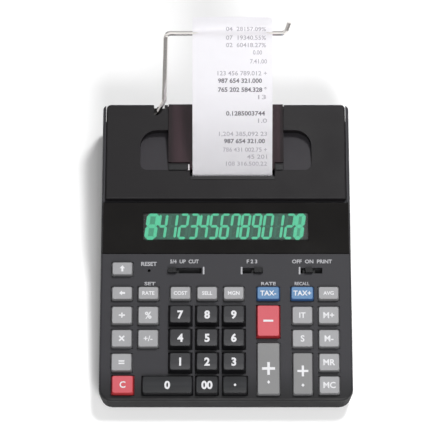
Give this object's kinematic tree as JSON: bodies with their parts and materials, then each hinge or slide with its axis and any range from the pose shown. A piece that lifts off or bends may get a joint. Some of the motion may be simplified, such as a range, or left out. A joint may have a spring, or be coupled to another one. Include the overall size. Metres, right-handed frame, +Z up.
{
  "type": "thermal printing calculator",
  "caption": "Desktop thermal printing calculator with keyboard deck, display band, printer under a hinged smoke lid, paper strip and folding wire arm.",
  "frame": {"origin": "on the desk, under the middle of the whole object's box, paper and arm included", "axes": "+X to the user's right, +Y from the keys to the rear, +Z up"},
  "size_m": [0.18, 0.2628, 0.1011],
  "materials": {
    "deck_plastic": "fine textured charcoal",
    "cover_plastic": "satin near-black",
    "base_plastic": "textured black",
    "window_gloss": "polished black",
    "display_glass": "dark green display",
    "smoke_plastic": "smoke tint, polished",
    "steel": "brushed",
    "chrome": "bright plated",
    "aluminium": "satin",
    "platen_rubber": "matt",
    "gear_plastic": "natural moulded",
    "chassis_plastic": "moulded black",
    "paper": "thermal paper, smooth",
    "digit_black": "satin black",
    "key_grey": "satin grey",
    "key_red": "satin red",
    "key_blue": "satin blue",
    "mat_silicone": "matt silicone",
    "board": "solder mask",
    "foot_rubber": "matt"
  },
  "bodies": {
    "housing": {"display_panel": "display_glass", "display_window": "window_gloss", "feed_motor": "aluminium", "key_mat": "mat_silicone", "lower_case": "base_plastic", "main_board": "board", "paper_strip": "paper", "power_jack": "chassis_plastic", "print_head": "aluminium", "printer_chassis": "chassis_plastic", "printer_cover": "cover_plastic", "rubber_foot_front": "foot_rubber", "rubber_foot_rear": "foot_rubber", "tear_bar": "steel", "upper_case": "deck_plastic"},
    "key_0_cap": {"key_0": "digit_black"},
    "key_00_cap": {"key_00": "digit_black"},
    "key_1_cap": {"key_1": "digit_black"},
    "key_2_cap": {"key_2": "digit_black"},
    "key_3_cap": {"key_3": "digit_black"},
    "key_4_cap": {"key_4": "digit_black"},
    "key_5_cap": {"key_5": "digit_black"},
    "key_6_cap": {"key_6": "digit_black"},
    "key_7_cap": {"key_7": "digit_black"},
    "key_8_cap": {"key_8": "digit_black"},
    "key_9_cap": {"key_9": "digit_black"},
    "key_average_cap": {"key_average": "key_grey"},
    "key_back_cap": {"key_back": "key_grey"},
    "key_clear_cap": {"key_clear": "key_red"},
    "key_cost_cap": {"key_cost": "key_grey"},
    "key_divide_cap": {"key_divide": "key_grey"},
    "key_equals_cap": {"key_equals": "key_grey"},
    "key_feed_cap": {"key_feed": "key_grey"},
    "key_items_cap": {"key_items": "key_grey"},
    "key_margin_cap": {"key_margin": "key_grey"},
    "key_memory_clear_cap": {"key_memory_clear": "key_grey"},
    "key_memory_minus_cap": {"key_memory_minus": "key_grey"},
    "key_memory_plus_cap": {"key_memory_plus": "key_grey"},
    "key_memory_recall_cap": {"key_memory_recall": "key_grey"},
    "key_minus_cap": {"key_minus": "key_red"},
    "key_multiply_cap": {"key_multiply": "key_grey"},
    "key_percent_cap": {"key_percent": "key_grey"},
    "key_plus_cap": {"key_plus": "key_grey"},
    "key_point_cap": {"key_point": "digit_black"},
    "key_rate_cap": {"key_rate": "key_grey"},
    "key_sell_cap": {"key_sell": "key_grey"},
    "key_sign_cap": {"key_sign": "key_grey"},
    "key_subtotal_cap": {"key_subtotal": "key_grey"},
    "key_tax_minus_cap": {"key_tax_minus": "key_blue"},
    "key_tax_plus_cap": {"key_tax_plus": "key_blue"},
    "key_total_cap": {"key_total": "key_grey"},
    "rounding_switch_knob": {"rounding_switch": "digit_black"},
    "decimal_switch_knob": {"decimal_switch": "digit_black"},
    "print_switch_knob": {"print_switch": "digit_black"},
    "lid": {"paper_lid": "smoke_plastic"},
    "arm": {"paper_arm": "chrome"},
    "platen": {"platen_roller": "platen_rubber", "platen_gear": "gear_plastic"},
    "pinion": {"motor_pinion": "gear_plastic"},
    "roll": {"paper_roll": "paper"}
  },
  "joints": [
    {"name": "rounding_switch_slide", "type": "slide", "parent": "housing", "child": "rounding_switch_knob", "axis": [1, 0, 0], "range_m": [0, 0.0178]},
    {"name": "decimal_switch_slide", "type": "slide", "parent": "housing", "child": "decimal_switch_knob", "axis": [1, 0, 0], "range_m": [-0.0088, 0]},
    {"name": "print_switch_slide", "type": "slide", "parent": "housing", "child": "print_switch_knob", "axis": [1, 0, 0], "range_m": [-0.0033, 0.0068]},
    {"name": "lid_hinge", "type": "hinge", "parent": "housing", "child": "lid", "pos_m": [0, 0.0795, 0.04937], "axis": [-1, 0, 0], "range_deg": [0, 95], "deforming": ["paper_strip"]},
    {"name": "arm_fold", "type": "hinge", "parent": "housing", "child": "arm", "pos_m": [0, 0.07614, 0.04647], "axis": [-1, 0, 0], "range_deg": [0, 55]},
    {"name": "platen_spin", "type": "hinge", "parent": "housing", "child": "platen", "pos_m": [0, 0.02864, 0.037], "axis": [-1, 0, 0], "continuous": true},
    {"name": "pinion_spin", "type": "hinge", "parent": "housing", "child": "pinion", "pos_m": [0, 0.02323, 0.02981], "axis": [-1, 0, 0], "continuous": true},
    {"name": "roll_spin", "type": "hinge", "parent": "housing", "child": "roll", "pos_m": [0, 0.05664, 0.0272], "axis": [-1, 0, 0], "continuous": true},
    {"name": "key_0_press", "type": "slide", "parent": "housing", "child": "key_0_cap", "axis": [0, 0.1045, -0.9945], "range_m": [0, 0.0022], "stiffness_N_per_m": 180, "springref_m": -0.0015, "deforming": ["key_mat"]},
    {"name": "key_00_press", "type": "slide", "parent": "housing", "child": "key_00_cap", "axis": [0, 0.1045, -0.9945], "range_m": [0, 0.0022], "stiffness_N_per_m": 180, "springref_m": -0.0015, "deforming": ["key_mat"]},
    {"name": "key_1_press", "type": "slide", "parent": "housing", "child": "key_1_cap", "axis": [0, 0.1045, -0.9945], "range_m": [0, 0.0022], "stiffness_N_per_m": 180, "springref_m": -0.0015, "deforming": ["key_mat"]},
    {"name": "key_2_press", "type": "slide", "parent": "housing", "child": "key_2_cap", "axis": [0, 0.1045, -0.9945], "range_m": [0, 0.0022], "stiffness_N_per_m": 180, "springref_m": -0.0015, "deforming": ["key_mat"]},
    {"name": "key_3_press", "type": "slide", "parent": "housing", "child": "key_3_cap", "axis": [0, 0.1045, -0.9945], "range_m": [0, 0.0022], "stiffness_N_per_m": 180, "springref_m": -0.0015, "deforming": ["key_mat"]},
    {"name": "key_4_press", "type": "slide", "parent": "housing", "child": "key_4_cap", "axis": [0, 0.1045, -0.9945], "range_m": [0, 0.0022], "stiffness_N_per_m": 180, "springref_m": -0.0015, "deforming": ["key_mat"]},
    {"name": "key_5_press", "type": "slide", "parent": "housing", "child": "key_5_cap", "axis": [0, 0.1045, -0.9945], "range_m": [0, 0.0022], "stiffness_N_per_m": 180, "springref_m": -0.0015, "deforming": ["key_mat"]},
    {"name": "key_6_press", "type": "slide", "parent": "housing", "child": "key_6_cap", "axis": [0, 0.1045, -0.9945], "range_m": [0, 0.0022], "stiffness_N_per_m": 180, "springref_m": -0.0015, "deforming": ["key_mat"]},
    {"name": "key_7_press", "type": "slide", "parent": "housing", "child": "key_7_cap", "axis": [0, 0.1045, -0.9945], "range_m": [0, 0.0022], "stiffness_N_per_m": 180, "springref_m": -0.0015, "deforming": ["key_mat"]},
    {"name": "key_8_press", "type": "slide", "parent": "housing", "child": "key_8_cap", "axis": [0, 0.1045, -0.9945], "range_m": [0, 0.0022], "stiffness_N_per_m": 180, "springref_m": -0.0015, "deforming": ["key_mat"]},
    {"name": "key_9_press", "type": "slide", "parent": "housing", "child": "key_9_cap", "axis": [0, 0.1045, -0.9945], "range_m": [0, 0.0022], "stiffness_N_per_m": 180, "springref_m": -0.0015, "deforming": ["key_mat"]},
    {"name": "key_average_press", "type": "slide", "parent": "housing", "child": "key_average_cap", "axis": [0, 0.1045, -0.9945], "range_m": [0, 0.0022], "stiffness_N_per_m": 180, "springref_m": -0.0015, "deforming": ["key_mat"]},
    {"name": "key_back_press", "type": "slide", "parent": "housing", "child": "key_back_cap", "axis": [0, 0.1045, -0.9945], "range_m": [0, 0.0022], "stiffness_N_per_m": 180, "springref_m": -0.0015, "deforming": ["key_mat"]},
    {"name": "key_clear_press", "type": "slide", "parent": "housing", "child": "key_clear_cap", "axis": [0, 0.1045, -0.9945], "range_m": [0, 0.0022], "stiffness_N_per_m": 180, "springref_m": -0.0015, "deforming": ["key_mat"]},
    {"name": "key_cost_press", "type": "slide", "parent": "housing", "child": "key_cost_cap", "axis": [0, 0.1045, -0.9945], "range_m": [0, 0.0022], "stiffness_N_per_m": 180, "springref_m": -0.0015, "deforming": ["key_mat"]},
    {"name": "key_divide_press", "type": "slide", "parent": "housing", "child": "key_divide_cap", "axis": [0, 0.1045, -0.9945], "range_m": [0, 0.0022], "stiffness_N_per_m": 180, "springref_m": -0.0015, "deforming": ["key_mat"]},
    {"name": "key_equals_press", "type": "slide", "parent": "housing", "child": "key_equals_cap", "axis": [0, 0.1045, -0.9945], "range_m": [0, 0.0022], "stiffness_N_per_m": 180, "springref_m": -0.0015, "deforming": ["key_mat"]},
    {"name": "key_feed_press", "type": "slide", "parent": "housing", "child": "key_feed_cap", "axis": [0, 0.1045, -0.9945], "range_m": [0, 0.0022], "stiffness_N_per_m": 180, "springref_m": -0.0015, "deforming": ["key_mat"]},
    {"name": "key_items_press", "type": "slide", "parent": "housing", "child": "key_items_cap", "axis": [0, 0.1045, -0.9945], "range_m": [0, 0.0022], "stiffness_N_per_m": 180, "springref_m": -0.0015, "deforming": ["key_mat"]},
    {"name": "key_margin_press", "type": "slide", "parent": "housing", "child": "key_margin_cap", "axis": [0, 0.1045, -0.9945], "range_m": [0, 0.0022], "stiffness_N_per_m": 180, "springref_m": -0.0015, "deforming": ["key_mat"]},
    {"name": "key_memory_clear_press", "type": "slide", "parent": "housing", "child": "key_memory_clear_cap", "axis": [0, 0.1045, -0.9945], "range_m": [0, 0.0022], "stiffness_N_per_m": 180, "springref_m": -0.0015, "deforming": ["key_mat"]},
    {"name": "key_memory_minus_press", "type": "slide", "parent": "housing", "child": "key_memory_minus_cap", "axis": [0, 0.1045, -0.9945], "range_m": [0, 0.0022], "stiffness_N_per_m": 180, "springref_m": -0.0015, "deforming": ["key_mat"]},
    {"name": "key_memory_plus_press", "type": "slide", "parent": "housing", "child": "key_memory_plus_cap", "axis": [0, 0.1045, -0.9945], "range_m": [0, 0.0022], "stiffness_N_per_m": 180, "springref_m": -0.0015, "deforming": ["key_mat"]},
    {"name": "key_memory_recall_press", "type": "slide", "parent": "housing", "child": "key_memory_recall_cap", "axis": [0, 0.1045, -0.9945], "range_m": [0, 0.0022], "stiffness_N_per_m": 180, "springref_m": -0.0015, "deforming": ["key_mat"]},
    {"name": "key_minus_press", "type": "slide", "parent": "housing", "child": "key_minus_cap", "axis": [0, 0.1045, -0.9945], "range_m": [0, 0.0022], "stiffness_N_per_m": 180, "springref_m": -0.0015, "deforming": ["key_mat"]},
    {"name": "key_multiply_press", "type": "slide", "parent": "housing", "child": "key_multiply_cap", "axis": [0, 0.1045, -0.9945], "range_m": [0, 0.0022], "stiffness_N_per_m": 180, "springref_m": -0.0015, "deforming": ["key_mat"]},
    {"name": "key_percent_press", "type": "slide", "parent": "housing", "child": "key_percent_cap", "axis": [0, 0.1045, -0.9945], "range_m": [0, 0.0022], "stiffness_N_per_m": 180, "springref_m": -0.0015, "deforming": ["key_mat"]},
    {"name": "key_plus_press", "type": "slide", "parent": "housing", "child": "key_plus_cap", "axis": [0, 0.1045, -0.9945], "range_m": [0, 0.0022], "stiffness_N_per_m": 180, "springref_m": -0.0015, "deforming": ["key_mat"]},
    {"name": "key_point_press", "type": "slide", "parent": "housing", "child": "key_point_cap", "axis": [0, 0.1045, -0.9945], "range_m": [0, 0.0022], "stiffness_N_per_m": 180, "springref_m": -0.0015, "deforming": ["key_mat"]},
    {"name": "key_rate_press", "type": "slide", "parent": "housing", "child": "key_rate_cap", "axis": [0, 0.1045, -0.9945], "range_m": [0, 0.0022], "stiffness_N_per_m": 180, "springref_m": -0.0015, "deforming": ["key_mat"]},
    {"name": "key_sell_press", "type": "slide", "parent": "housing", "child": "key_sell_cap", "axis": [0, 0.1045, -0.9945], "range_m": [0, 0.0022], "stiffness_N_per_m": 180, "springref_m": -0.0015, "deforming": ["key_mat"]},
    {"name": "key_sign_press", "type": "slide", "parent": "housing", "child": "key_sign_cap", "axis": [0, 0.1045, -0.9945], "range_m": [0, 0.0022], "stiffness_N_per_m": 180, "springref_m": -0.0015, "deforming": ["key_mat"]},
    {"name": "key_subtotal_press", "type": "slide", "parent": "housing", "child": "key_subtotal_cap", "axis": [0, 0.1045, -0.9945], "range_m": [0, 0.0022], "stiffness_N_per_m": 180, "springref_m": -0.0015, "deforming": ["key_mat"]},
    {"name": "key_tax_minus_press", "type": "slide", "parent": "housing", "child": "key_tax_minus_cap", "axis": [0, 0.1045, -0.9945], "range_m": [0, 0.0022], "stiffness_N_per_m": 180, "springref_m": -0.0015, "deforming": ["key_mat"]},
    {"name": "key_tax_plus_press", "type": "slide", "parent": "housing", "child": "key_tax_plus_cap", "axis": [0, 0.1045, -0.9945], "range_m": [0, 0.0022], "stiffness_N_per_m": 180, "springref_m": -0.0015, "deforming": ["key_mat"]},
    {"name": "key_total_press", "type": "slide", "parent": "housing", "child": "key_total_cap", "axis": [0, 0.1045, -0.9945], "range_m": [0, 0.0022], "stiffness_N_per_m": 180, "springref_m": -0.0015, "deforming": ["key_mat"]}
  ],
  "couplings": [
    {"joint": "pinion_spin", "follows": "platen_spin", "ratio": -2},
    {"joint": "roll_spin", "follows": "platen_spin", "ratio": 0.25}
  ]
}
